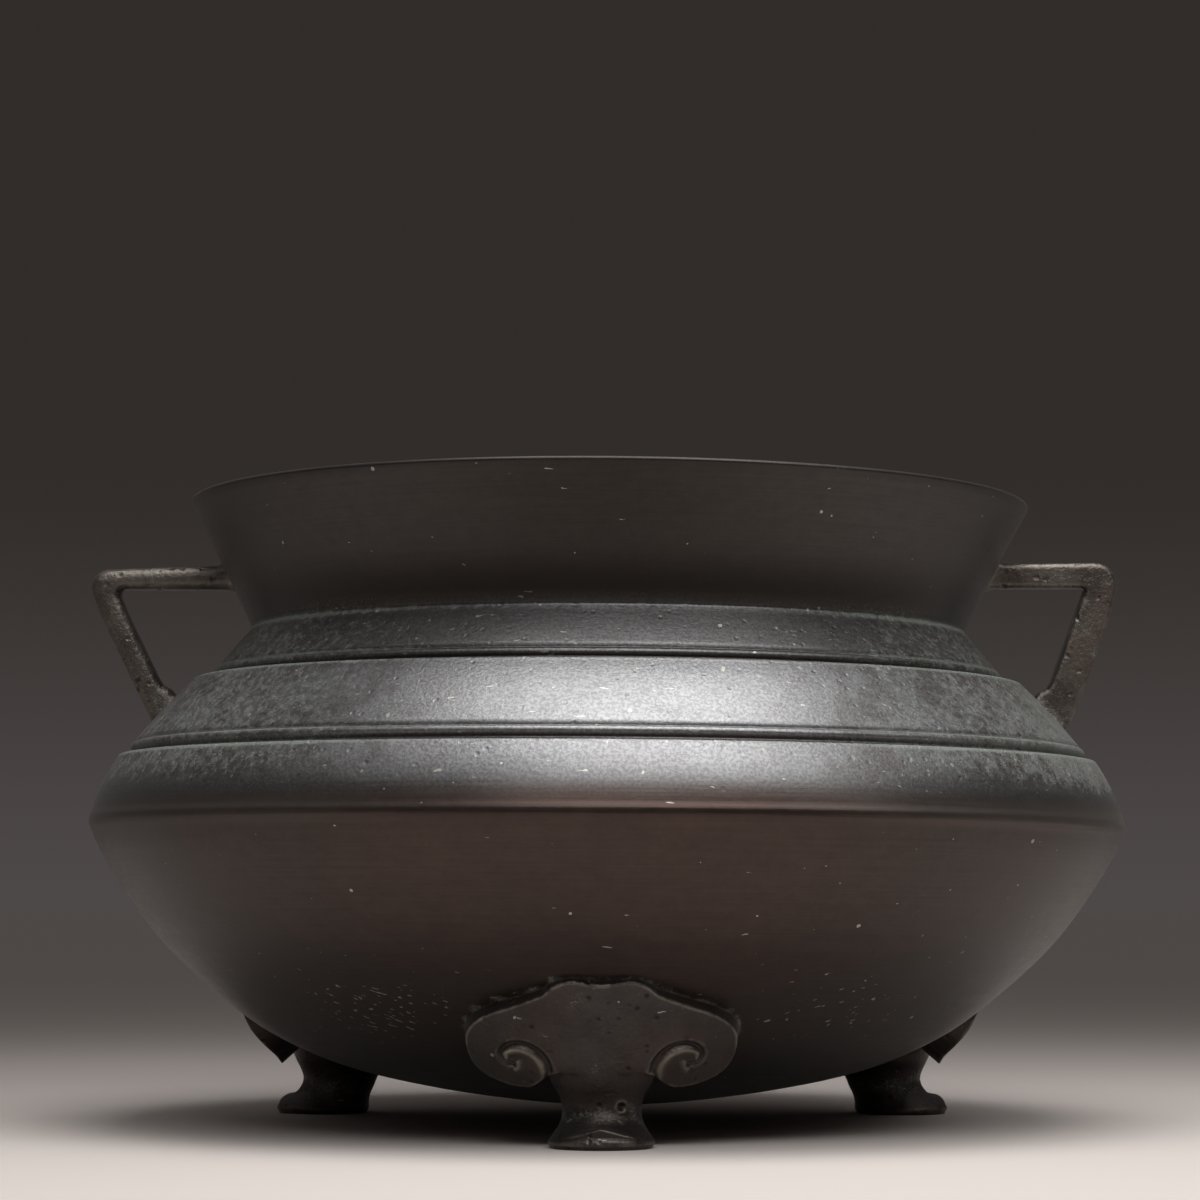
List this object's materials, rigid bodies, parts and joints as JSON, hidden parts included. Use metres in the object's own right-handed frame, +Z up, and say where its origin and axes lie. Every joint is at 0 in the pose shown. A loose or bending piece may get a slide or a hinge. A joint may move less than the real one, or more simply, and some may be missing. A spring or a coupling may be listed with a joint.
{
  "type": "bronze ding vessel",
  "caption": "Round bronze vessel with a flared neck, stepped shoulder, sharp belly edge, bent bar handles at the sides and short feet with cloud-scroll plates.",
  "frame": {"origin": "on the floor under the middle of the vessel, where its axis meets the plane of the feet's soles", "axes": "+Z up along the vessel's axis, the handles along -X and +X, the first foot toward -Y, which is the front"},
  "size_m": [0.2412, 0.24, 0.1444],
  "materials": {
    "body_bronze": "dark brown patina, satin",
    "handle_bronze": "dark patina, fine cast grain",
    "foot_bronze": "dark patina, satin"
  },
  "bodies": {
    "root": {"body": "body_bronze", "handle_left": "handle_bronze", "handle_right": "handle_bronze", "foot_front": "foot_bronze", "foot_right": "foot_bronze", "foot_left": "foot_bronze"}
  },
  "joints": []
}
